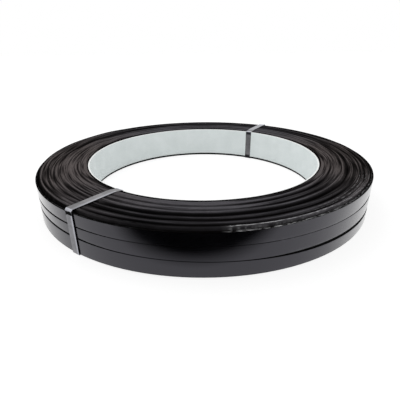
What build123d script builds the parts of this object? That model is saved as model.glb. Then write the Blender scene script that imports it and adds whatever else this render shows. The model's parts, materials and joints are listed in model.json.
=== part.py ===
"""Coil of black steel strapping on a paperboard core, bound by two steel straps.

Millimetres, +Z up. The coil lies flat with its axis on Z, and the undersides of
its binding straps are at Z 0. Angles run from +X towards +Y.
"""
import os
from itertools import accumulate
from math import cos, radians, sin, sqrt

from build123d import *

# Paperboard core that the strip is wound on
bore_diameter = 406.4
core_wall = 2.5
core_fit = 0.1
core_setback = 2.5
core_edge_break = 0.6

# Wound strip: its section, the slack between its turns, and its lanes side by side
strip_width = 19.05
strip_thickness = 0.508
winding_slack = 0.007
lane_count = 3
lane_gap = 2.4
lane_gap_turns = 3

# Packs of turns that stand apart on the ends, from the core outwards
pack_turns = (36, 23, 24, 26, 25, 15)
pack_inner_drop_shares = (0.45, 0.50, 0.40, 0.95, 0.75, 0.50)
pack_outer_drop_shares = (0.10, 0.15, 0.00, 0.55, 0.30, 0.00)
pack_drop = 2.0

# Grooves between the packs, each where a pack ends; the foot's turns are pressed nearly level
groove_turns = (4, 4, 6, 5, 4)
top_groove_shares = (0.50, 0.50, 1.00, 0.75, 0.60)
foot_groove_shares = (0.30, 0.00, 0.60, 0.40, 0.30)
groove_depth = 5.0

# Outermost turns, which lie lower than the packs and are worn at the foot
rim_turns = 9
rim_drop = 3.1
foot_chamfer = 1.0

# Binding straps round the section, each closed by a welded lap
strap_width = 12.7
strap_thickness = 0.38
strap_gap = 0.05
strap_standoff = 1.2
strap_top_bend = 3.0
strap_foot_bend = 1.0
strap_lap = 36.0
front_strap_angle = 234.4
rear_strap_angle = 58.7

# Sizes that follow from these
bore_radius = bore_diameter / 2
core_outer_radius = bore_radius + core_wall
turn_pitch = strip_thickness + winding_slack
inner_radius = core_outer_radius + core_fit
winding_build = (sum(pack_turns) + rim_turns) * turn_pitch
outer_radius = inner_radius + winding_build
lanes_height = lane_count * strip_width + (lane_count - 1) * lane_gap
coil_height = lanes_height + rim_drop
coil_base = strap_thickness + strap_gap
coil_top = coil_base + coil_height
core_height = coil_height - 2 * core_setback
core_base = coil_base + core_setback
pack_edges = [inner_radius + turns * turn_pitch for turns in accumulate(pack_turns, initial=0)]


def cut_face(points):
    """Take a closed outline out of the section."""
    Polygon(*points, align=None, mode=Mode.SUBTRACT)


def cut_groove(radius, width, floor, end):
    """Take a groove with sloping walls out of one end, down to its floor."""
    cut_face([(radius - width / 2, end), (radius, floor), (radius + width / 2, end)])


def bind(angle, lap_in_bore):
    """Sketch and extrude one strap in the upright plane at an angle round the coil."""
    radial = (cos(radians(angle)), sin(radians(angle)), 0)
    along = (sin(radians(angle)), -cos(radians(angle)), 0)
    # a flat strap lies across the curved bore with its two edges against the wall
    inside = sqrt(bore_radius**2 - (strap_width / 2)**2) - strap_gap - strap_thickness
    # its stiff bends at the rim and the foot hold it off the outer face
    outside = outer_radius + strap_standoff + strap_thickness
    top = coil_top + strap_gap + strap_thickness
    corners = [(inside, 0), (outside, 0), (outside, top), (inside, top)]
    foot_round = strap_foot_bend + strap_thickness
    top_round = strap_top_bend + strap_thickness
    lap_radius = inside - strap_thickness if lap_in_bore else outside
    with BuildSketch(Plane(origin=(0, 0, 0), x_dir=radial, z_dir=along)) as band:
        with BuildLine():
            FilletPolyline(*corners, radius=[top_round, foot_round, top_round, top_round], close=True)
        make_face()
        offset(amount=-strap_thickness, mode=Mode.SUBTRACT)
        with Locations((lap_radius, (coil_base + coil_top) / 2)):
            Rectangle(strap_thickness, strap_lap, align=(Align.MIN, Align.CENTER))
    extrude(band.sketch, amount=strap_width / 2, both=True)


os.makedirs("parts", exist_ok=True)

# The turns together, as one turned solid with the bore that the core fills
with BuildPart() as wound_strip:
    with BuildSketch(Plane.XZ):
        with Locations((inner_radius, coil_base)):
            Rectangle(winding_build, coil_height, align=(Align.MIN, Align.MIN))
        # tops of the packs, which slope and stand at different heights
        tops = zip(pack_edges, pack_edges[1:], pack_inner_drop_shares, pack_outer_drop_shares)
        for near, far, near_share, far_share in tops:
            slope = [(near, coil_top - near_share * pack_drop), (far, coil_top - far_share * pack_drop)]
            if far_share > 0:
                slope.append((far, coil_top))
            cut_face([(near, coil_top)] + slope)
        # the outermost turns stand lower at the top and are chamfered at the foot
        cut_face([
            (pack_edges[-1], coil_top),
            (pack_edges[-1], coil_top - rim_drop),
            (outer_radius, coil_top - rim_drop),
            (outer_radius, coil_top),
        ])
        cut_face([
            (outer_radius - foot_chamfer, coil_base),
            (outer_radius, coil_base),
            (outer_radius, coil_base + foot_chamfer),
        ])
        # grooves between the packs on both ends
        grooves = zip(pack_edges[1:], groove_turns, top_groove_shares, foot_groove_shares)
        for radius, turns, top_share, foot_share in grooves:
            cut_groove(radius, turns * turn_pitch, coil_top - top_share * groove_depth, coil_top)
            if foot_share > 0:
                cut_groove(radius, turns * turn_pitch, coil_base + foot_share * groove_depth, coil_base)
        # gaps between the lanes of the outermost turns
        for lane in range(1, lane_count):
            gap_base = coil_base + lane * strip_width + (lane - 1) * lane_gap
            cut_face([
                (outer_radius - lane_gap_turns * turn_pitch, gap_base),
                (outer_radius, gap_base),
                (outer_radius, gap_base + lane_gap),
                (outer_radius - lane_gap_turns * turn_pitch, gap_base + lane_gap),
            ])
    revolve(axis=Axis.Z)
wound_strip.part.label = "wound_strip"
export_step(wound_strip.part, "parts/wound_strip.step")

# The paperboard core, a plain hoop with the two edges of its bore broken
with BuildPart() as paperboard_core:
    with BuildSketch(Plane.XZ):
        with Locations((bore_radius, core_base)):
            hoop = Rectangle(core_wall, core_height, align=(Align.MIN, Align.MIN))
        chamfer(hoop.vertices().group_by(Axis.X)[0], core_edge_break)
    revolve(axis=Axis.Z)
paperboard_core.part.label = "paperboard_core"
export_step(paperboard_core.part, "parts/paperboard_core.step")

# Two binding straps, with their laps on the sides that are out of the way
with BuildPart() as front_strap:
    bind(front_strap_angle, True)
front_strap.part.label = "front_strap"
export_step(front_strap.part, "parts/front_strap.step")

with BuildPart() as rear_strap:
    bind(rear_strap_angle, False)
rear_strap.part.label = "rear_strap"
export_step(rear_strap.part, "parts/rear_strap.step")
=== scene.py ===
import json
from math import cos, hypot, pi, radians, sin, sqrt

import bpy
import numpy as np
from mathutils import Matrix, Vector


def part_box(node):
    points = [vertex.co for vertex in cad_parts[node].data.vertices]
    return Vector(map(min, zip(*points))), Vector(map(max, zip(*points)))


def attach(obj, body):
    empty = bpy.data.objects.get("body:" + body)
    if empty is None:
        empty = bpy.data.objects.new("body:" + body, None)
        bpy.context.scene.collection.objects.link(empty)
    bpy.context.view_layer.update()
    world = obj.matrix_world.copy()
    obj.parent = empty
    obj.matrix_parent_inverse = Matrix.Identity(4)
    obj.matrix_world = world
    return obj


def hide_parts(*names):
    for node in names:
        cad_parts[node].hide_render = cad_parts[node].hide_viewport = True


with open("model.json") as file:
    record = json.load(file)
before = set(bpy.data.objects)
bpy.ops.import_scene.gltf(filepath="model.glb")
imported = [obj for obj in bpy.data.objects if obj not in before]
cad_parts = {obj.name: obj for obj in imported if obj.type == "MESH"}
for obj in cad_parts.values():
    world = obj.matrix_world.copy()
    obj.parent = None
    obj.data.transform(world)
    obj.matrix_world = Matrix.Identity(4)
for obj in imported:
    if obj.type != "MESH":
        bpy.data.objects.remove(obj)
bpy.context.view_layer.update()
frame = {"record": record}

MM = 0.001
rng = np.random.default_rng(41)

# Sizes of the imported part, in millimetres
coil_low, coil_high = [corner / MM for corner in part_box("wound_strip")]
core_low, core_high = [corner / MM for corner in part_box("paperboard_core")]
bore_mount = next(mount for mount in frame["record"]["mounts"] if mount["name"] == "bore")
BASE, TOP, OUT_R = coil_low.z, coil_high.z, coil_high.x
BORE_R = bore_mount["dims"]["r_mm"]
CORE_WALL = core_high.x - BORE_R
CORE_FIT = 0.1
IN_R = core_high.x + CORE_FIT

# Packs of turns on the ends, from the core outwards, as the solid has them
PACKS = (36, 23, 24, 26, 25, 15)
PACK_IN = (0.45, 0.50, 0.40, 0.95, 0.75, 0.50)
PACK_OUT = (0.10, 0.15, 0.00, 0.55, 0.30, 0.00)
PACK_DROP = 2.0
GROOVE_TURNS = (4, 4, 6, 5, 4)
TOP_GROOVES = (0.50, 0.50, 1.00, 0.75, 0.60)
FOOT_GROOVES = (0.30, 0.00, 0.60, 0.40, 0.30)
GROOVE_DEPTH = 5.0
RIM_TURNS = 9
RIM_DROP = 3.1
RIM_START = sum(PACKS)
TURNS = RIM_START + RIM_TURNS
PITCH = (OUT_R - IN_R) / TURNS
LANE_GAP_TURNS = 3

# Binding straps
FRONT_STRAP = 234.4
REAR_STRAP = 58.7
STRAP_W = 12.7
STRAP_T = 0.38
STRAP_GAP = 0.05
STRAP_STANDOFF = 1.2
STRAP_LAP = 36.0
STRAP_BEND = 3.0
STRAP_FOOT_BEND = 1.0
STRAP_BORE_BEND = 2.0
STRAP_EDGE_BREAK = 0.1

# Mesh steps round the coil
TOP_STEPS = 288
FOOT_STEPS = 144
FACE_STEPS = 288
CORE_STEPS = 256

# Places round the coil, in degrees: the middle, the reach that is full, and the reach where it ends
LEFT = (185, 43, 56)
RIGHT = (352, 18, 42)
FRONT = (268, 40, 65)
FRONT_RIM = (262, 6, 34)
FRONT_RIGHT = (305, 8, 32)
BACK = (80, 85, 115)
BACK_LEFT = (138, 22, 42)
CLEAN_FRONT = (267, 14, 26)
DUST_AND_SHEEN_SIDES = (267, 68, 100)
RUBBED_SEAM = (308, 0, 26)
WARM_LEFT = (190, 0, 75)
WARM_RIGHT = (352, 0, 60)
SCUFF_START = (278, 1.5, 4)
SCUFF_DASHES = (318, 8, 26)


def smooth(a, b, x):
    """0 up to a, 1 from b on, and a soft step between them."""
    t = np.clip((x - a) / (b - a), 0, 1)
    return t * t * (3 - 2 * t)


def around(table, deg):
    """A smooth closed curve through (degrees, value) pairs."""
    keys = np.array(sorted(table), dtype=float)
    xs = np.concatenate([keys[-2:, 0] - 360, keys[:, 0], keys[:2, 0] + 360])
    ys = np.concatenate([keys[-2:, 1], keys[:, 1], keys[:2, 1]])
    deg = np.mod(deg, 360)
    i = np.clip(np.searchsorted(xs, deg, side="right") - 1, 1, len(xs) - 3)
    t = (deg - xs[i]) / (xs[i + 1] - xs[i])
    m0 = (ys[i + 1] - ys[i - 1]) / (xs[i + 1] - xs[i - 1]) * (xs[i + 1] - xs[i])
    m1 = (ys[i + 2] - ys[i]) / (xs[i + 2] - xs[i]) * (xs[i + 1] - xs[i])
    return (
        (2 * t**3 - 3 * t**2 + 1) * ys[i]
        + (t**3 - 2 * t**2 + t) * m0
        + (-2 * t**3 + 3 * t**2) * ys[i + 1]
        + (t**3 - t**2) * m1
    )


def angles(n):
    """Even steps round the coil, in degrees."""
    return np.arange(n) * 360 / n


def off_angle(deg, middle):
    """How far an angle is from the middle, from -180 to 180."""
    return (deg - middle + 180) % 360 - 180


def near_angle(deg, middle, full, clear):
    """1 within an angle of the middle, falling to 0 at a wider one."""
    return 1 - smooth(full, clear, np.abs(off_angle(deg, middle)))


def round_points(deg, r, z):
    """Points at angles, radii and heights round the axis."""
    a = np.radians(deg)
    return np.stack(np.broadcast_arrays(r * np.cos(a), r * np.sin(a), z), -1).reshape(-1, 3)


def grid_quads(rows, cols, round_rows=True, round_cols=False):
    """Quads between the points of a grid, closed on itself where its rows or columns go round."""
    row_steps = rows if round_rows else rows - 1
    col_steps = cols if round_cols else cols - 1
    i, j = np.meshgrid(np.arange(row_steps), np.arange(col_steps), indexing="ij")
    next_i, next_j = (i + 1) % rows, (j + 1) % cols
    corners = [i * cols + j, next_i * cols + j, next_i * cols + next_j, i * cols + next_j]
    return np.stack(corners, -1).reshape(-1, 4)


def turned_over(quads):
    """The same quads facing the other way, each from its own first corner."""
    return quads[:, [0, 3, 2, 1]]


def new_piece(name, verts, faces, mat, node):
    """A mesh piece on the root body that stands for a CAD node."""
    mesh = bpy.data.meshes.new(name)
    mesh.vertices.add(len(verts))
    mesh.vertices.foreach_set("co", (np.asarray(verts) * MM).ravel())
    faces = np.asarray(faces)
    mesh.loops.add(faces.size)
    mesh.polygons.add(len(faces))
    mesh.loops.foreach_set("vertex_index", faces.ravel())
    mesh.polygons.foreach_set("loop_start", np.arange(len(faces)) * faces.shape[1])
    mesh.update(calc_edges=True)
    mesh.validate()
    piece = bpy.data.objects.new(name, mesh)
    bpy.context.collection.objects.link(piece)
    mesh.materials.append(mat)
    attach(piece, "root")
    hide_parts(node)
    return piece


def set_attr(piece, name, values):
    """One number a point, for the material to read."""
    attribute = piece.data.attributes.new(name, "FLOAT", "POINT")
    attribute.data.foreach_set("value", np.asarray(values, dtype=np.float32).ravel())


def second_material(piece, mat, faces):
    """Give the marked faces another material."""
    piece.data.materials.append(mat)
    piece.data.polygons.foreach_set("material_index", np.asarray(faces).astype(np.int32))


def smooth_shade(piece, angle):
    """Smooth shading, with edges sharper than the angle left sharp."""
    piece.data.polygons.foreach_set("use_smooth", np.ones(len(piece.data.polygons), dtype=bool))
    piece.data.set_sharp_from_angle(angle=radians(angle))


# Material nodes
def nodes_of(name):
    """A new material, its node tree and its shader."""
    mat = bpy.data.materials.new(name)
    mat.use_nodes = True
    tree = mat.node_tree
    return mat, tree, tree.nodes["Principled BSDF"]


def put(tree, socket, value):
    """Set a socket to a colour or a number, or link another socket to it."""
    if isinstance(value, tuple):
        socket.default_value = (*value, 1)
    elif isinstance(value, (int, float)):
        socket.default_value = value
    else:
        tree.links.new(value, socket)


def noise(tree, vector, scale, detail, rough):
    """A noise texture's value at a vector."""
    node = tree.nodes.new("ShaderNodeTexNoise")
    put(tree, node.inputs["Scale"], scale)
    put(tree, node.inputs["Detail"], detail)
    put(tree, node.inputs["Roughness"], rough)
    put(tree, node.inputs["Vector"], vector)
    return node.outputs["Fac"]


def ramp(tree, source, low, high, a=0.0, b=1.0):
    """From a at the low value of the source to b at its high value."""
    node = tree.nodes.new("ShaderNodeMapRange")
    names = ("Value", "From Min", "From Max", "To Min", "To Max")
    for name, value in zip(names, (source, low, high, a, b)):
        put(tree, node.inputs[name], value)
    return node.outputs["Result"]


def calc(tree, operation, a, b):
    """One operation on two values."""
    node = tree.nodes.new("ShaderNodeMath")
    node.operation = operation
    put(tree, node.inputs[0], a)
    put(tree, node.inputs[1], b)
    return node.outputs[0]


def plus(tree, a, b):
    """The sum of two values."""
    return calc(tree, "ADD", a, b)


def times(tree, a, b):
    """The product of two values."""
    return calc(tree, "MULTIPLY", a, b)


def distance(tree, x, y):
    """Length of a flat vector."""
    return calc(tree, "POWER", plus(tree, times(tree, x, x), times(tree, y, y)), 0.5)


def mix(tree, fac, a, b):
    """From colour a to colour b by a factor."""
    node = tree.nodes.new("ShaderNodeMix")
    node.data_type = "RGBA"
    put(tree, node.inputs["Factor"], fac)
    put(tree, node.inputs[6], a)
    put(tree, node.inputs[7], b)
    return node.outputs[2]


def attr(tree, name):
    """A number that the mesh holds for each point."""
    node = tree.nodes.new("ShaderNodeAttribute")
    node.attribute_name = name
    return node.outputs["Fac"]


def flat_vector(tree, x, y):
    """A vector with no height."""
    node = tree.nodes.new("ShaderNodeCombineXYZ")
    put(tree, node.inputs[0], x)
    put(tree, node.inputs[1], y)
    return node.outputs[0]


def position(tree):
    """The place on the object, and its three coordinates."""
    place = tree.nodes.new("ShaderNodeTexCoord").outputs["Object"]
    split = tree.nodes.new("ShaderNodeSeparateXYZ")
    put(tree, split.inputs[0], place)
    return place, split.outputs


def bump(tree, shader, height, strength, depth):
    """Fine relief on the shader's surface."""
    node = tree.nodes.new("ShaderNodeBump")
    put(tree, node.inputs["Strength"], strength)
    put(tree, node.inputs["Distance"], depth)
    put(tree, node.inputs["Height"], height)
    put(tree, shader.inputs["Normal"], node.outputs["Normal"])


def edge_paint():
    """Dull black paint on the strip's edges with no gloss of its own. It is grey where turns stand proud,
    which is partly rubbing and partly a painted reflection, it has painted shade in the grooves, and it is
    bare where scuffed.
    """
    mat, tree, shader = nodes_of("strip_edge_paint")
    place, (x, y, _) = position(tree)
    angle, radius = calc(tree, "ARCTAN2", y, x), distance(tree, x, y)
    cool_grey, warm_grey = (0.088, 0.086, 0.097), (0.104, 0.090, 0.088)
    black, brown_black = (0.0010, 0.0010, 0.0011), (0.0026, 0.0021, 0.0021)
    bare_steel = (0.56, 0.56, 0.57)
    along = flat_vector(tree, times(tree, angle, 0.25), times(tree, radius, 9.0))
    streak = noise(tree, along, scale=70.0, detail=5.0, rough=0.6)
    patch = noise(tree, place, scale=9.0, detail=3.0, rough=0.5)
    # lightness of each turn: rubbed grey that is partly a painted reflection, with painted shade in the
    # grooves
    lightness = times(tree, attr(tree, "rub_and_painted_light"), ramp(tree, streak, 0.25, 0.75, 0.55, 1.35))
    rubbed_and_lit = mix(tree, attr(tree, "warm"), cool_grey, warm_grey)
    shade = mix(tree, ramp(tree, patch, 0.3, 0.7), black, brown_black)
    colour = mix(tree, lightness, shade, rubbed_and_lit)
    short_along = flat_vector(tree, times(tree, angle, 0.20), times(tree, radius, 4.0))
    dash = ramp(tree, noise(tree, short_along, scale=160.0, detail=3.0, rough=0.65), 0.45, 0.62)
    bare = times(tree, attr(tree, "scuff"), dash)
    put(tree, shader.inputs["Base Color"], mix(tree, bare, colour, bare_steel))
    put(tree, shader.inputs["Roughness"], ramp(tree, streak, 0.3, 0.7, 0.40, 0.60))
    put(tree, shader.inputs["Specular IOR Level"], 0.0)
    grain = noise(tree, place, scale=900.0, detail=3.0, rough=0.6)
    bump(tree, shader, grain, strength=0.12, depth=0.0004)
    return mat


def face_paint():
    """Satin black paint on the strip's flat side, with rolling streaks, rubbed edges, and a film of dust
    whose sheen is also a painted sheen, kept off the front and strongest at the sides.
    """
    mat, tree, shader = nodes_of("strip_face_paint")
    place, (x, y, z) = position(tree)
    black, blue_black = (0.0008, 0.0008, 0.0011), (0.0018, 0.0018, 0.0024)
    rubbed_grey = (0.060, 0.060, 0.064)
    along = flat_vector(tree, times(tree, calc(tree, "ARCTAN2", y, x), 0.283), times(tree, z, 30.0))
    streak = noise(tree, along, scale=12.0, detail=6.0, rough=0.6)
    cloud = noise(tree, place, scale=22.0, detail=4.0, rough=0.55)
    speckle = noise(tree, place, scale=120.0, detail=5.0, rough=0.65)
    grit = noise(tree, place, scale=420.0, detail=3.0, rough=0.6)
    base = mix(tree, ramp(tree, cloud, 0.3, 0.7), black, blue_black)
    worn = times(tree, attr(tree, "edge"), ramp(tree, speckle, 0.45, 0.70))
    put(tree, shader.inputs["Base Color"], mix(tree, worn, base, rubbed_grey))
    mixed = plus(tree, times(tree, streak, 0.6), times(tree, cloud, 0.4))
    put(tree, shader.inputs["Roughness"], ramp(tree, mixed, 0.3, 0.7, 0.10, 0.19))
    put(tree, shader.inputs["IOR"], 1.76)
    # sheen of the dust film, which is also a painted sheen that lifts the sides
    put(tree, shader.inputs["Sheen Weight"], attr(tree, "dust_and_sheen"))
    put(tree, shader.inputs["Sheen Roughness"], 0.42)
    put(tree, shader.inputs["Specular Tint"], (0.90, 0.88, 1.0))
    bump(tree, shader, plus(tree, mixed, times(tree, grit, 0.35)), strength=0.07, depth=0.0005)
    return mat


def shade_black_paint():
    """Dull black with almost no gloss and faint dust mottling, standing in as painted shade in the gaps
    between the lanes, at the foot, on the innermost turn and in a patch on a strap.
    """
    mat, tree, shader = nodes_of("strip_painted_shade_black")
    place, _ = position(tree)
    black, dusty_black = (0.0010, 0.0010, 0.0012), (0.0040, 0.0038, 0.0038)
    dust = ramp(tree, noise(tree, place, scale=45.0, detail=5.0, rough=0.6), 0.4, 0.7)
    put(tree, shader.inputs["Base Color"], mix(tree, dust, black, dusty_black))
    put(tree, shader.inputs["Roughness"], 0.75)
    put(tree, shader.inputs["Specular IOR Level"], 0.05)
    return mat


def strap_steel():
    """Steel strap with dull and clear patches, painted highlights on its bends and front edges, painted
    shade on its bore run and at the outer end of its top run, and heat tints at its welds.
    """
    mat, tree, shader = nodes_of("strap_steel")
    place, _ = position(tree)
    dull, clear = (0.135, 0.135, 0.14), (0.255, 0.25, 0.26)
    painted_highlight, tinted, painted_shade_black = (0.66, 0.67, 0.74), (0.10, 0.075, 0.085), (0.006, 0.006, 0.008)
    cloud = noise(tree, place, scale=70.0, detail=5.0, rough=0.6)
    fine = noise(tree, place, scale=520.0, detail=3.0, rough=0.6)
    colour = mix(tree, ramp(tree, cloud, 0.3, 0.7), dull, clear)
    # painted highlights on the bends and edges
    colour = mix(tree, attr(tree, "painted_highlight"), colour, painted_highlight)
    colour = mix(tree, attr(tree, "heat"), colour, tinted)
    # painted shade on the bore run and the outer end of the top run
    put(tree, shader.inputs["Base Color"], mix(tree, attr(tree, "painted_shade"), colour, painted_shade_black))
    put(tree, shader.inputs["Metallic"], 1.0)
    put(tree, shader.inputs["Roughness"], ramp(tree, fine, 0.3, 0.7, 0.28, 0.46))
    bump(tree, shader, fine, strength=0.10, depth=0.0003)
    return mat


def board():
    """Pale cool grey paperboard with soft fibre mottling and lighter cut edges."""
    mat, tree, shader = nodes_of("grey_board")
    place, (x, y, z) = position(tree)
    grey, pale_grey, cut_white = (0.645, 0.695, 0.69), (0.74, 0.785, 0.785), (0.88, 0.89, 0.88)
    along = flat_vector(tree, times(tree, calc(tree, "ARCTAN2", y, x), 0.2), z)
    cloud = noise(tree, along, scale=30.0, detail=5.0, rough=0.6)
    fibre = noise(tree, place, scale=700.0, detail=4.0, rough=0.7)
    rub_and_painted_light = plus(tree, times(tree, cloud, 0.6), times(tree, fibre, 0.4))
    face = mix(tree, ramp(tree, rub_and_painted_light, 0.35, 0.65), grey, pale_grey)
    put(tree, shader.inputs["Base Color"], mix(tree, attr(tree, "cut_edge"), face, cut_white))
    put(tree, shader.inputs["Roughness"], 0.85)
    bump(tree, shader, fibre, strength=0.20, depth=0.0004)
    return mat


edge_mat = edge_paint()
face_mat = face_paint()
shade_black_mat = shade_black_paint()
steel_mat = strap_steel()
board_mat = board()

# Turns on the two ends: how light the packs and the rim are, partly rubbing and partly painted light, and
# how dark the grooves between them are painted as shade
PACK_LIGHT = (0.84, 0.78, 0.72, 0.46, 0.46, 0.46, 0.03)
PACK_BLEND = 5
GROOVE_REACH = (7, 7, 10, 8, 7)
GROOVE_DARK = (0.70, 0.62, 1.00, 0.96, 0.92)
GROOVE_FADE_LEFT = (0.95, 0.95, 0.85, 0.92, 0.90)
GROOVE_FADE_RIGHT = (0.75, 0.80, 0.30, 0.75, 0.75)
GROOVE_RIGHT = (0.45, 0.35, 0.00, 0.00, -0.35)
RIGHT_DIM = 0.16
FRONT_RIM_DIM = 0.68
LEFT_LINE_LIGHT = 0.25
TONE_GAIN, TONE_CONTRAST, TONE_MOST = 1.28, 1.4, 1.2
WARM_ALL_ROUND = 0.15

# Levels of the turns in millimetres, and the number of turns that are worn back at the foot
TURN_DROP, FINE_WAVE, COARSE_WAVE = 0.35, 0.07, 0.14
CROWN_DROP = 0.9
FAN_RISE = 0.35
TOP_DEEPEST = 7
FOOT_DROP, FOOT_WAVE = 0.16, 0.05
FOOT_WORN, FOOT_WORN_TURNS = 0.7, 2
FOOT_DEEPEST = 5

# Shares: a groove's flat floor, how far grooves close up at the sides, and how far packs follow the rim
GROOVE_FLOOR = 0.25
LEFT_CLOSED, RIGHT_CLOSED = 0.8, 0.6
RIM_FOLLOW = 0.35

# Lines on the ends: the angle where fanned lines don't drift, and the turns that a wave reaches each side
FAN_MIDDLE = 195
WAVE_REACH = 12

# Marks on the top: their places round it, the turn, its spread in turns, and how much lighter or darker
STEP_TURN, STEP_SPREAD, STEP_DROP = 16, 5, 0.9
TOP_MARKS = (
    ((FRONT_RIGHT,), RIM_START - 7, 6, 0.60),
    ((FRONT_RIGHT,), STEP_TURN, STEP_SPREAD, -0.80),
    ((BACK, LEFT), RIM_START, 6, -0.90),
    ((BACK_LEFT,), 96, 9, -0.85),
)

# Turns scuffed bare on the top: the turn, its spread in turns and how bare
SCUFFED = ((142, 1.7, 1.0), (149, 2.0, 0.10), (155, 1.7, 1.0))
SCUFFED_FIRST = ((141, 2.6, 0.8), (154, 2.6, 0.4))
SCUFFED_DASHES = ((120, 0.8, 0.5), (129, 0.8, 0.5), (137, 0.8, 0.5), (145, 0.8, 0.5), (152, 0.8, 0.5))

# How bare the scuffed turns are, and how far the rim dips, round the coil in degrees
SCUFF = (
    (90, 0.05), (180, 0.10), (240, 0.05), (270, 0.0), (274.4, 0.0), (276.4, 1.3),
    (279, 1.1), (288, 0.9), (300, 0.55), (312, 0.25), (335, 0.05),
)
RIM_DIP = (
    (90, 0.2), (160, 0.6), (205, 1.9), (222, 2.1), (240, 1.3), (262, 0.8),
    (285, 0.2), (300, -1.1), (322, -1.7), (350, -0.8), (30, 0.0),
)

edges = np.concatenate([[0], np.cumsum(PACKS)])
turn = np.arange(TURNS)
pack_of = np.clip(np.searchsorted(edges, turn, side="right") - 1, 0, len(PACKS))
share_in_pack = (turn + 0.5 - edges[pack_of]) / np.array((*PACKS, RIM_TURNS))[pack_of]


def pack_profile(grooves, sloped):
    """How far each turn lies below the end's tallest turn."""
    drop = np.zeros(TURNS)
    if sloped:
        for k in range(len(PACKS)):
            inside = pack_of == k
            slope = PACK_IN[k] + (PACK_OUT[k] - PACK_IN[k]) * share_in_pack[inside]
            drop[inside] = PACK_DROP * slope
        drop[pack_of == len(PACKS)] = RIM_DROP
    for k, share in enumerate(grooves):
        off = np.abs(turn + 0.5 - edges[k + 1]) / (GROOVE_TURNS[k] / 2)
        drop = np.maximum(drop, share * GROOVE_DEPTH * np.clip(1 + GROOVE_FLOOR - off, 0, 1))
    return drop


def turn_lines(deg, harmonics, spread):
    """Slow random waves round the coil, alike over a spread of turns, with a size of about 1."""
    a = np.radians(deg)
    field = sum(np.sin(k * a + rng.uniform(0, 2 * pi, TURNS)) for k in harmonics)
    kernel = np.exp(-0.5 * (np.arange(-WAVE_REACH, WAVE_REACH + 1) / spread)**2)
    field = np.apply_along_axis(np.convolve, 1, field, kernel, mode="same")
    return field / field.std()


def ring_at(middle, spread):
    """1 on a turn, falling away over a spread of turns."""
    return np.exp(-((turn + 0.5 - middle) / spread)**2)


def rings(table):
    """Several turns together, each with its own spread and strength."""
    return sum(share * ring_at(middle, spread) for middle, spread, share in table)


def fanned_lines(deg, period, drift, wander):
    """Thin light lines some turns apart that drift across the packs round the coil."""
    phase = 2 * pi * (turn - drift * off_angle(deg, FAN_MIDDLE)) / period + wander
    return ((1 + np.sin(phase)) / 2)**4


def fan_pattern(deg, fine, coarse):
    """The lightest of three sets of fanned lines that cross, the narrowest of them broken up."""
    broad = fanned_lines(deg, period=10.6, drift=0.10, wander=0.9 * coarse)
    crossing = fanned_lines(deg, period=15.7, drift=-0.06, wander=coarse)
    narrow = fanned_lines(deg, period=6.3, drift=0.07, wander=1.2 * coarse)**1.5
    return np.maximum(np.maximum(broad, 0.8 * crossing), 0.9 * narrow * (0.75 + 0.25 * fine))


def top_tone(deg, fine, coarse, fan):
    """How light each turn's edge is on the top end. It is partly rubbing and partly painted light: painted
    shade in the grooves and a painted dark reflection at the front rim.
    """
    left, right = near_angle(deg, *LEFT), near_angle(deg, *RIGHT)
    front, back = near_angle(deg, *FRONT), near_angle(deg, *BACK)
    front_right = near_angle(deg, *FRONT_RIGHT)
    rub_and_painted_light = np.convolve(np.array(PACK_LIGHT)[pack_of], np.ones(PACK_BLEND) / PACK_BLEND, mode="same")
    # painted shade: the grooves are dark, least where the turns fan out at the sides
    for k, edge in enumerate(edges[1:-1]):
        fade = np.maximum(GROOVE_FADE_LEFT[k] * left, GROOVE_FADE_RIGHT[k] * right)
        dark = GROOVE_DARK[k] * (1 - fade) + GROOVE_RIGHT[k] * front_right
        rub_and_painted_light = rub_and_painted_light * (1 - np.clip(dark, 0, 1) * ring_at(edge, GROOVE_REACH[k]))
    for places, middle, spread, change in TOP_MARKS:
        reach = np.maximum.reduce([near_angle(deg, *place) for place in places])
        rub_and_painted_light = rub_and_painted_light * (1 + change * reach * ring_at(middle, spread))
    # the innermost turns are dark, more of them at the back and front, and the rim at the front is dark as
    # a painted dark reflection
    innermost = np.maximum(back * ring_at(0, 9), front * ring_at(4, 11))
    rub_and_painted_light = rub_and_painted_light * (1.15 - 1.10 * np.maximum(ring_at(0, 4.5), innermost))
    rub_and_painted_light = rub_and_painted_light * (1 - FRONT_RIM_DIM * near_angle(deg, *FRONT_RIM) * smooth(0.62, 0.90, turn / TURNS))
    # at the sides the packs break up into fanned lines
    fanned = np.maximum(left, right)
    even = np.clip(1 + 0.22 * coarse + 0.24 * fine, 0.3, 2)
    broken = (0.45 + 0.72 * fan) * np.clip(1 + 0.42 * fine, 0.25, 2)
    rub_and_painted_light = rub_and_painted_light * (1 - RIGHT_DIM * right) * ((1 - fanned) * even + fanned * broken)
    # one light turn inside the rim on the left
    rub_and_painted_light = rub_and_painted_light + LEFT_LINE_LIGHT * ring_at(RIM_START - 8, 1.8) * left
    return np.clip(TONE_GAIN * np.clip(rub_and_painted_light, 0, 2)**TONE_CONTRAST, 0, TONE_MOST)


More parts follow.
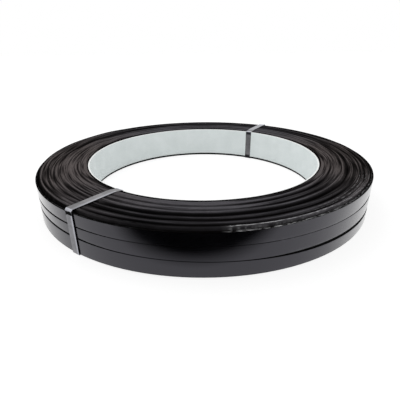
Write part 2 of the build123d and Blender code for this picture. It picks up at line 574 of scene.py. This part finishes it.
def top_drop(deg, fine, coarse, fan):
    """How far each turn lies below the top of the coil."""
    left, right = near_angle(deg, *LEFT), near_angle(deg, *RIGHT)
    in_pack = pack_of < len(PACKS)
    # the packs are crowned and part at grooves, which close up where the turns fan out
    closed = np.maximum(LEFT_CLOSED * left, RIGHT_CLOSED * right)
    cut, filled = pack_profile(TOP_GROOVES, True), pack_profile((), True)
    crown = CROWN_DROP * np.abs(2 * share_in_pack - 1)**2.2 * in_pack
    depth = cut + (filled - cut) * closed + crown * (1 - closed)
    depth = depth + STEP_DROP * near_angle(deg, *FRONT_RIGHT) * ring_at(STEP_TURN, STEP_SPREAD)
    # each turn has its own level and its own waves
    depth = depth + TURN_DROP - FINE_WAVE * fine - COARSE_WAVE * coarse + rng.gamma(1.4, 0.08, TURNS)
    depth = depth - FAN_RISE * fan * np.maximum(left, right)
    # the outer turns stand lower and higher with the rim
    follow = np.where(in_pack, RIM_FOLLOW * smooth(0.6, 1, turn / TURNS), 1.0)
    return np.clip(depth + follow * around(RIM_DIP, deg), 0, TOP_DEEPEST)


def top_look(deg):
    """Depth, lightness and scuffs of each turn's edge on the top end."""
    fine = turn_lines(deg, (3, 5, 8, 13, 21), 1.5)
    coarse = turn_lines(deg, (1, 2, 3), 2.4)
    fan = fan_pattern(deg, fine, coarse)
    worn = rings(SCUFFED) + near_angle(deg, *SCUFF_START) * rings(SCUFFED_FIRST)
    scuff = worn * around(SCUFF, deg) + near_angle(deg, *SCUFF_DASHES) * rings(SCUFFED_DASHES)
    return top_drop(deg, fine, coarse, fan), top_tone(deg, fine, coarse, fan), np.clip(scuff, 0, 1)


def foot_look(deg):
    """Depth and lightness of each turn's edge on the foot, which is pressed level and has no scuffs."""
    lines = turn_lines(deg, (1, 2, 4), 1.4)
    depth = pack_profile(FOOT_GROOVES, False) + FOOT_DROP - FOOT_WAVE * lines + rng.gamma(1.4, 0.05, TURNS)
    # the outermost turns are worn back
    depth[:, -FOOT_WORN_TURNS:] += FOOT_WORN
    # painted shade: turns that lie deeper are darker
    rub_and_painted_light = np.clip(0.45 + 0.15 * lines - 0.25 * depth, 0, 1)
    return np.clip(depth, 0, FOOT_DEEPEST), rub_and_painted_light, np.zeros(depth.shape)


def end_mesh(name, n, look, at, sign):
    """One end of the coil, with every turn as a flat edge and a step to the next."""
    deg = angles(n)[:, None]
    depth, rub_and_painted_light, scuff = look(deg)
    r = np.repeat(IN_R + PITCH * np.arange(TURNS + 1), 2)[1:-1]
    verts = round_points(deg, r, at - sign * np.repeat(depth, 2, axis=1))
    quads = grid_quads(n, len(r))
    faces = quads[:, ::-1] if sign > 0 else quads
    piece = new_piece(name, verts, faces, edge_mat, "wound_strip")
    warm = np.clip(WARM_ALL_ROUND + near_angle(deg, *WARM_LEFT) + near_angle(deg, *WARM_RIGHT), 0, 1)
    set_attr(piece, "rub_and_painted_light", np.repeat(rub_and_painted_light, 2, axis=1))
    set_attr(piece, "scuff", np.repeat(scuff, 2, axis=1))
    set_attr(piece, "warm", np.repeat(warm, len(r), axis=1))
    return depth


top_depth = end_mesh("top_turns", TOP_STEPS, top_look, TOP, 1)
foot_depth = end_mesh("foot_turns", FOOT_STEPS, foot_look, BASE, -1)

# Seams between the three lanes of the outer face: their heights and widths round the coil in degrees
LOWER_SEAM = (
    (150, 23.4), (205, 25.2), (230, 25.6), (250, 24.4), (270, 23.0),
    (290, 21.3), (310, 19.9), (330, 18.3), (10, 19.4), (90, 21.6),
)
UPPER_SEAM = (
    (150, 42.0), (205, 41.2), (230, 42.1), (260, 42.8),
    (300, 43.2), (330, 41.8), (10, 42.2), (90, 42.6),
)
LOWER_WIDE = (
    (150, 1.6), (200, 4.0), (228, 3.3), (250, 1.4), (268, 0.9), (282, 1.4),
    (294, 3.5), (312, 5.0), (335, 5.2), (352, 3.8), (20, 1.6), (90, 1.3),
)
UPPER_WIDE = (
    (150, 1.4), (200, 3.4), (228, 2.8), (250, 1.0), (270, 0.7), (300, 0.8), (313, 1.0),
    (320, 2.2), (327, 3.4), (340, 3.4), (356, 2.6), (20, 1.2), (90, 1.2),
)

# Lanes of the outer face: points across as shares of the height, how far back each stands, wear, and the
# faces at the foot that are painted dark as contact shadow
LANE_SHARES = (0.0, 0.01, 0.03, 0.2, 0.35, 0.5, 0.65, 0.8, 0.97, 0.99, 1.0)
LANE_INSET = (0.00, 0.05, 0.02)
LANE_BOW = 0.04
LANE_EDGE_ROUND = 0.15
SEAM_RUB = 2.5
FOOT_SHADE_FACES = 2

# Dust and painted sheen on each lane: the middle of the clean front, where it starts and is full each side,
# and how much
LANE_DUST_AND_SHEEN = ((258, 35, 63, 1.0), (267, 30, 58, 0.85), (267, 30, 54, 0.90))
DUST_AND_SHEEN_LOST_BEHIND = 0.65


def at_angles(depth, n, index):
    """One turn's depth at even steps round the coil."""
    return depth[np.arange(n) * len(depth) // n, index]


def outer_face():
    """The outermost turn in three lanes, with seams that wander, each a slot down to the turns below."""
    n = FACE_STEPS
    deg = angles(n)
    low, low_half = around(LOWER_SEAM, deg), around(LOWER_WIDE, deg) / 2
    high, high_half = around(UPPER_SEAM, deg), around(UPPER_WIDE, deg) / 2
    lanes = (
        (BASE + at_angles(foot_depth, n, -1), low - low_half),
        (low + low_half, high - high_half),
        (high + high_half, TOP - at_angles(top_depth, n, -1)),
    )
    none, slot = np.zeros(n), np.full(n, OUT_R - LANE_GAP_TURNS * PITCH)
    worn = 1 - near_angle(deg, *CLEAN_FRONT)
    behind = 1 - near_angle(deg, *DUST_AND_SHEEN_SIDES)
    columns, dull = [], []
    for k, (lowest, highest) in enumerate(lanes):
        if k:
            columns += [(slot, lanes[k - 1][1], none, none), (slot, lowest, none, none)]
            dull += [1, 1, 1]
        middle, clean, dusty, most = LANE_DUST_AND_SHEEN[k]
        # dust and painted sheen: none at the front, full at the sides, less behind
        dust = most * (1 - near_angle(deg, middle, clean, dusty)) * (1 - DUST_AND_SHEEN_LOST_BEHIND * behind)
        for share in LANE_SHARES:
            side = abs(2 * share - 1)
            bow = LANE_BOW * side**2 * (1 + np.sin(np.radians(2 * deg + 70 * k)))
            r = OUT_R - LANE_INSET[k] - bow - LANE_EDGE_ROUND * side**60 * worn
            lightness = smooth(0.9, 1, side) * worn
            if k == 1 and share < 0.1:
                lightness = lightness * (1 + SEAM_RUB * near_angle(deg, *RUBBED_SEAM))
            columns.append((r, lowest + (highest - lowest) * share, lightness, dust))
        # the lowest faces of the foot lane are painted dark as contact shadow
        foot_shade = FOOT_SHADE_FACES if k == 0 else 0
        dull += [1] * foot_shade + [0] * (len(LANE_SHARES) - 1 - foot_shade)
    r, z, lightness, dust_and_sheen_share = [np.stack(values, 1) for values in zip(*columns)]
    verts = round_points(deg[:, None], r, z)
    faces = grid_quads(n, len(columns))
    piece = new_piece("outer_lanes", verts, faces, face_mat, "wound_strip")
    set_attr(piece, "edge", lightness)
    set_attr(piece, "dust_and_sheen", dust_and_sheen_share)
    # the dull black faces: painted shade in the slots, and painted contact shadow at the foot
    second_material(piece, shade_black_mat, np.tile(dull, n))
    smooth_shade(piece, 40)


def inner_turn():
    """The innermost turn's inner side, which shows above and below the core."""
    n = FACE_STEPS
    z = np.stack([BASE + at_angles(foot_depth, n, 0), TOP - at_angles(top_depth, n, 0)], 1)
    verts = round_points(angles(n)[:, None], IN_R, z)
    faces = grid_quads(n, 2)[:, ::-1]
    # its dull black is painted shade where it shows above and below the core
    piece = new_piece("inner_turn", verts, faces, shade_black_mat, "wound_strip")
    smooth_shade(piece, 30)


# An edge of the core: how far out from the bore, how far in from the end, and 1 on the cut edge
CORE_EDGE = ((CORE_WALL, 0, 0), (CORE_WALL, 0, 1), (0.6, 0, 1), (0.25, 0.1, 1), (0.02, 0.55, 0), (0, 3, 0))
CORE_FOOT_TRIM = 2.2


def core_hoop():
    """The paperboard core, with broken edges at its bore and slightly uneven cut edges."""
    n = CORE_STEPS
    deg = angles(n)[:, None]
    # the foot edge stands higher than the solid's, so that a dark line shows under it
    low, high = core_low.z + CORE_FOOT_TRIM, core_high.z
    foot = [(BORE_R + out, low + up, cut) for out, up, cut in CORE_EDGE]
    top = [(BORE_R + out, high - down, cut) for out, down, cut in reversed(CORE_EDGE)]
    r, height, cut_edge = np.array(foot + [(BORE_R, (low + high) / 2, 0)] + top + foot[:1]).T
    fuzz = np.abs(0.12 * np.sin(np.radians(deg * 5)) + 0.08 * np.sin(np.radians(deg * 13 + 40)))
    ends = 2 * (height - low) / (high - low) - 1
    verts = round_points(deg, r, height - fuzz * np.sign(ends) * np.abs(ends)**4)
    faces = grid_quads(n, len(r))[:, ::-1]
    piece = new_piece("core_hoop", verts, faces, board_mat, "paperboard_core")
    set_attr(piece, "cut_edge", np.tile(cut_edge, n))
    smooth_shade(piece, 35)


outer_face()
inner_turn()
core_hoop()

# Path of a strap round the coil's section, in the upright plane that the strap lies in
STRAP_IN = sqrt(BORE_R**2 - (STRAP_W / 2)**2) - STRAP_GAP
STRAP_OUT = OUT_R + STRAP_STANDOFF
STRAP_LOW, STRAP_HIGH = BASE - STRAP_GAP, TOP + STRAP_GAP
STRAP_CORNERS = (
    (STRAP_OUT, STRAP_HIGH, STRAP_BEND),
    (STRAP_OUT, STRAP_LOW, STRAP_FOOT_BEND),
    (STRAP_IN, STRAP_LOW, STRAP_BEND),
    (STRAP_IN, STRAP_HIGH, STRAP_BORE_BEND),
)
BEND_STEPS = 8
RUN_STEP = 1.6
FLAT_POINTS = 9

# How far the straps are pulled down at the bore, and where the pull starts and ends
BORE_DIP = 1.8
DIP_FULL, DIP_CLEAR = STRAP_IN + 2, STRAP_IN + 18
DIP_HEIGHT = 25

# Spot welds along the lap
WELDS = (-10, 0, 10)
WELD_R = 2.8
WELD_DENT = 0.16
WELD_RIDGE_R = 3.2
WELD_RIDGE_W = 0.6
WELD_RIDGE = 0.05
WELD_TINT_R = 3.4

# A dull black patch on the front strap below its outer bend, painted shade under the bend
SHADE_DROP = 5.4
SHADE_HALF = 2.7
SHADE_EDGE = 5.8
SHADE_TILT = 0.5

# Painted shade and painted highlights on stretches of the straps: how strong each is, and its reach in
# millimetres
TOP_SKIN = 0.1
OUTER_END, OUTER_BEND = 26, 4
END_SHADE = 0.42
BORE_RUN_SHADE, BORE_ENDS_SHADE = 0.27, 0.68
OUTER_BEND_LIGHT, OUTER_BEND_R, OUTER_BEND_W = 0.5, 1.2, 1.7
BORE_BEND_LIGHT, BORE_BEND_DROP = 0.95, 5
TOP_RUN_LIGHT = 0.35
TOP_EDGE_LIGHT, FACE_LIGHT, FACE_EDGE_LIGHT = 0.42, 0.12, 0.62


def strap_line():
    """Points on the strap's inner side and its outward direction, round the section from the top."""
    line = []
    for k, (r, z, bend) in enumerate(STRAP_CORNERS):
        mid_r = r + bend * (-1 if r == STRAP_OUT else 1)
        mid_z = z + bend * (-1 if z == STRAP_HIGH else 1)
        for step in range(BEND_STEPS + 1):
            a = radians(90 - 90 * k - 90 * step / BEND_STEPS)
            line.append((mid_r + bend * cos(a), mid_z + bend * sin(a), cos(a), sin(a)))
    full = []
    for p, q in zip(line, line[1:] + line[:1]):
        count = 1 + int(hypot(p[0] - q[0], p[1] - q[1]) // RUN_STEP)
        full += [np.array(p) + (np.array(q) - np.array(p)) * step / count for step in range(count)]
    r, z, out_r, out_z = np.array(full).T
    # pulled down over the innermost turns and the edge of the core
    over_bore = 1 - smooth(DIP_FULL, DIP_CLEAR, r)
    z = z - BORE_DIP * over_bore * smooth(STRAP_HIGH - DIP_HEIGHT, STRAP_HIGH, z)
    size = np.hypot(out_r, out_z)
    return r[:, None], z[:, None], (out_r / size)[:, None], (out_z / size)[:, None]


def strap_band():
    """The strap as a closed band: points as radius, place across and height, and its quads."""
    r, z, out_r, out_z = strap_line()
    half, e = STRAP_W / 2, STRAP_EDGE_BREAK
    flat = [(across, STRAP_T) for across in np.linspace(-half + e, half - e, FLAT_POINTS)]
    near_side = [(-half, e), (-half, STRAP_T - e)]
    far_side = [(half, STRAP_T - e), (half, e)]
    across, out = np.array(near_side + flat + far_side + [(half - e, 0), (-half + e, 0)]).T
    points = np.stack(np.broadcast_arrays(r + out_r * out, across, z + out_z * out), -1)
    return points.reshape(-1, 3), turned_over(grid_quads(len(r), len(out), round_cols=True))


def lap_plate(lap_in_bore):
    """The lap's free end as a thin plate with spot welds: points, quads and heat tint."""
    rows, cols = ((49, 19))
    half, end = STRAP_W / 2, STRAP_LAP / 2
    up, across = np.meshgrid(np.linspace(-end, end, rows), np.linspace(-half, half, cols), indexing="ij")
    height = np.full(up.shape, STRAP_T)
    heat = np.zeros(up.shape)
    for weld in WELDS:
        off = np.hypot(up - weld, across)
        height = height - WELD_DENT * np.clip(1 - (off / WELD_R)**2, 0, 1)
        height = height + WELD_RIDGE * np.exp(-((off - WELD_RIDGE_R) / WELD_RIDGE_W)**2)
        heat = np.maximum(heat, np.exp(-(off / WELD_TINT_R)**4))
    rim = (np.abs(across) > half - 1e-6) | (np.abs(up) > end - 1e-6)
    height = np.where(rim, 0, height)
    quads = turned_over(grid_quads(rows, cols, round_rows=False))
    if lap_in_bore:
        r = STRAP_IN - STRAP_T - height
        quads = quads[:, ::-1]
    else:
        r = STRAP_OUT + STRAP_T + height
    points = np.stack([r, across, (STRAP_LOW + STRAP_HIGH) / 2 + up], -1).reshape(-1, 3)
    return points, quads, heat.ravel()


def outer_end(r, z):
    """1 at the outer end of the top run, falling to 0 inwards."""
    return smooth(OUT_R - OUTER_END, OUT_R - OUTER_BEND, r) * (z > STRAP_HIGH - TOP_SKIN)


def strap_painted_shade(r, z, top_highlight):
    """Painted shade: the bore run is darkened and darkest at its ends, and so is the outer end of the top
    run where the strap has no top highlight.
    """
    ends = np.abs(2 * (z - STRAP_LOW) / (STRAP_HIGH - STRAP_LOW) - 1)
    bore_run = (r < BORE_R + 0.5) * (BORE_RUN_SHADE + BORE_ENDS_SHADE * smooth(0.67, 0.81, ends))
    return np.maximum(bore_run, END_SHADE * (1 - top_highlight) * outer_end(r, z))


def strap_painted_highlight(r, across, z, top_highlight):
    """Painted highlights: the bends and the edge towards the front are bright, and so is the top run where
    the strap has a top highlight.
    """
    on_top, on_face = z > STRAP_HIGH - TOP_SKIN, r > OUT_R
    off_corner = np.hypot(r - STRAP_OUT, z - STRAP_HIGH)
    outer_bend = OUTER_BEND_LIGHT * np.exp(-((off_corner - OUTER_BEND_R) / OUTER_BEND_W)**2)
    by_bore = (1 - smooth(BORE_R + 0.8, BORE_R + 4, r)) * (z > STRAP_HIGH - BORE_BEND_DROP)
    top_run = top_highlight * np.maximum(outer_end(r, z), TOP_RUN_LIGHT * on_top)
    front_edge = TOP_EDGE_LIGHT * smooth(0.5, 6.0, across) * on_top
    front_edge = front_edge + (FACE_LIGHT + FACE_EDGE_LIGHT * smooth(2.5, 6.2, across)) * on_face
    return np.maximum.reduce([outer_bend, BORE_BEND_LIGHT * by_bore, top_run, front_edge])


def shaded_faces(centres):
    """Faces of the outer run in the dull black patch of painted shade below the bend."""
    r, across, z = centres.T
    slant = SHADE_TILT * across / (STRAP_W / 2)
    in_patch = np.abs(z - STRAP_HIGH + SHADE_DROP - slant) < SHADE_HALF
    return (r > OUT_R) & (across < SHADE_EDGE) & in_patch


def strap(name, node, angle, lap_in_bore, top_highlight):
    """One binding strap with its welded lap, at an angle round the coil."""
    band, band_quads = strap_band()
    plate, plate_quads, plate_heat = lap_plate(lap_in_bore)
    points = np.concatenate([band, plate])
    quads = np.concatenate([band_quads, plate_quads + len(band)])
    a = radians(angle)
    turn_out = np.array(((cos(a), sin(a), 0), (-sin(a), cos(a), 0), (0, 0, 1)))
    piece = new_piece(name, points @ turn_out, quads, steel_mat, node)
    # the dull black patch of painted shade below the front strap's bend
    shade_patch = (top_highlight < 0.5) & shaded_faces(band[band_quads].mean(axis=1))
    second_material(piece, shade_black_mat, np.concatenate([shade_patch, np.zeros(len(plate_quads))]))
    r, across, z = points.T
    # painted shade, for the material
    set_attr(piece, "painted_shade", np.clip(strap_painted_shade(r, z, top_highlight), 0, 1))
    # painted highlights, for the material
    set_attr(piece, "painted_highlight", np.clip(strap_painted_highlight(r, across, z, top_highlight), 0, 1))
    set_attr(piece, "heat", np.concatenate([np.zeros(len(band)), plate_heat]))
    smooth_shade(piece, 40)


strap("binding_strap_front", "front_strap", FRONT_STRAP, lap_in_bore=True, top_highlight=0.0)
strap("binding_strap_rear", "rear_strap", REAR_STRAP, lap_in_bore=False, top_highlight=0.9)

# Stage in metres: floor, a dark card in front that only reflections see and that puts a painted dark
# reflection on the coil's front, sky, lamp and camera
FLOOR_HALF = 9
FLOOR_Z = -0.0001
CARD_X, CARD_Y = 0.312, 0.136
CARD_SIDES = 48
CARD_BLACK = 0.74
CARD_MARGIN = 0.76
CARD_REACH = 1.9
CARD_PLACE = (-0.012, -0.442, 0.0005)
CARD_TURN = -0.09
SKY_LIGHT = 0.92
LAMP_SIZE = 1.6
LAMP_POWER = 8
LAMP_PLACE = Vector((-0.9, 0.5, 1.6))
CAMERA_PLACE = (0, -0.61153, 0.24996)
CAMERA_LENS = 30.655
CAMERA_SENSOR = 36
CAMERA_YAW, CAMERA_PITCH, CAMERA_ROLL = radians(-0.645), radians(-24.613), radians(-0.592)


def staged(name, verts, mat):
    """A flat one-sided sheet of the stage."""
    mesh = bpy.data.meshes.new(name)
    mesh.from_pydata(verts, [], [range(len(verts))])
    mesh.materials.append(mat)
    item = bpy.data.objects.new(name, mesh)
    bpy.context.collection.objects.link(item)
    return item


def shader_node(tree, kind, **sets):
    """A shader with its sockets set."""
    node = tree.nodes.new(kind)
    for name, value in sets.items():
        put(tree, node.inputs[name], value)
    return node.outputs[0]


def mix_shaders(tree, fac, a, b):
    """From shader a to shader b by a factor."""
    node = tree.nodes.new("ShaderNodeMixShader")
    for socket, value in zip(node.inputs, (fac, a, b)):
        put(tree, socket, value)
    return node.outputs[0]


def floor_material():
    """White floor: it glows a little where it is seen, less in reflections, and keeps a soft shadow."""
    mat, tree, shader = nodes_of("white_floor")
    path = tree.nodes.new("ShaderNodeLightPath").outputs
    seen = calc(tree, "MAXIMUM", path["Is Camera Ray"], path["Is Transmission Ray"])
    surface = shader_node(tree, "ShaderNodeBsdfDiffuse", Color=(0.86, 0.86, 0.86))
    for share, diffuse, glow in ((path["Is Glossy Ray"], 0.18, 0.82), (seen, 0.28, 0.78)):
        grey = shader_node(tree, "ShaderNodeBsdfDiffuse", Color=(diffuse, diffuse, diffuse))
        light = shader_node(tree, "ShaderNodeEmission", Color=(1, 1, 1), Strength=glow)
        lit = tree.nodes.new("ShaderNodeAddShader")
        put(tree, lit.inputs[0], grey)
        put(tree, lit.inputs[1], light)
        surface = mix_shaders(tree, share, surface, lit.outputs[0])
    put(tree, tree.nodes["Material Output"].inputs["Surface"], surface)
    tree.nodes.remove(shader)
    return mat


def card_material():
    """Black in the middle, fading to clear at the card's edge."""
    mat, tree, shader = nodes_of("dark_card")
    _, (x, y, _) = position(tree)
    reach = distance(tree, times(tree, x, 1 / CARD_X), times(tree, y, 1 / CARD_Y))
    inside = ramp(tree, reach, CARD_BLACK, 1.0, 0.0, CARD_MARGIN)
    outside = ramp(tree, reach, 1.0, CARD_REACH, 0.0, 1.0 - CARD_MARGIN)
    black = shader_node(tree, "ShaderNodeBsdfDiffuse", Color=(0.0, 0.0, 0.0))
    clear = shader_node(tree, "ShaderNodeBsdfTransparent", Color=(1, 1, 1))
    surface = mix_shaders(tree, plus(tree, inside, outside), black, clear)
    put(tree, tree.nodes["Material Output"].inputs["Surface"], surface)
    tree.nodes.remove(shader)
    return mat


def lay_floor_and_card():
    """The floor under the coil, and the card on it that only reflections see."""
    signs = ((-1, -1), (1, -1), (1, 1), (-1, 1))
    staged("floor", [(FLOOR_HALF * x, FLOOR_HALF * y, FLOOR_Z) for x, y in signs], floor_material())
    steps = [2 * pi * side / CARD_SIDES for side in range(CARD_SIDES)]
    ellipse = [(CARD_REACH * CARD_X * cos(a), CARD_REACH * CARD_Y * sin(a), 0) for a in steps]
    card = staged("dark_card", ellipse, card_material())
    card.location = CARD_PLACE
    card.rotation_euler = (0, 0, CARD_TURN)
    card.visible_camera = False
    card.visible_diffuse = False
    card.visible_shadow = False


def light_studio():
    """An even white sky that lights the coil a little less than it shows, and one soft lamp."""
    world = bpy.data.worlds.new("studio")
    bpy.context.scene.world = world
    world.use_nodes = True
    sky = world.node_tree
    path = sky.nodes.new("ShaderNodeLightPath").outputs
    seen = calc(sky, "MAXIMUM", path["Is Camera Ray"], path["Is Glossy Ray"])
    seen = calc(sky, "MAXIMUM", seen, path["Is Transmission Ray"])
    put(sky, sky.nodes["Background"].inputs["Color"], (1, 1, 1))
    put(sky, sky.nodes["Background"].inputs["Strength"], ramp(sky, seen, 0.0, 1.0, SKY_LIGHT, 1.0))
    lamp = bpy.data.lights.new("soft_top", "AREA")
    lamp.shape = "DISK"
    lamp.size = LAMP_SIZE
    lamp.energy = LAMP_POWER
    lamp_object = bpy.data.objects.new("soft_top", lamp)
    lamp_object.location = LAMP_PLACE
    lamp_object.rotation_euler = (-LAMP_PLACE).to_track_quat("-Z", "Y").to_euler()
    bpy.context.collection.objects.link(lamp_object)


def place_camera():
    """The camera at the photograph's angle, turned by its yaw and pitch and then rolled."""
    camera = bpy.data.cameras.new("camera")
    camera.sensor_width = CAMERA_SENSOR
    camera.lens = CAMERA_LENS
    camera.clip_start = 0.01
    flat = cos(CAMERA_PITCH)
    forward = Vector((sin(CAMERA_YAW) * flat, cos(CAMERA_YAW) * flat, sin(CAMERA_PITCH)))
    right = Vector((cos(CAMERA_YAW), -sin(CAMERA_YAW), 0))
    up = right.cross(forward)
    level, tilt = cos(CAMERA_ROLL), sin(CAMERA_ROLL)
    axes = Matrix((right * level + up * tilt, up * level - right * tilt, -forward)).transposed()
    camera_object = bpy.data.objects.new("camera", camera)
    camera_object.matrix_world = Matrix.Translation(CAMERA_PLACE) @ axes.to_4x4()
    bpy.context.collection.objects.link(camera_object)
    bpy.context.scene.camera = camera_object


lay_floor_and_card()
light_studio()
place_camera()
bpy.context.scene.view_settings.view_transform = "Standard"
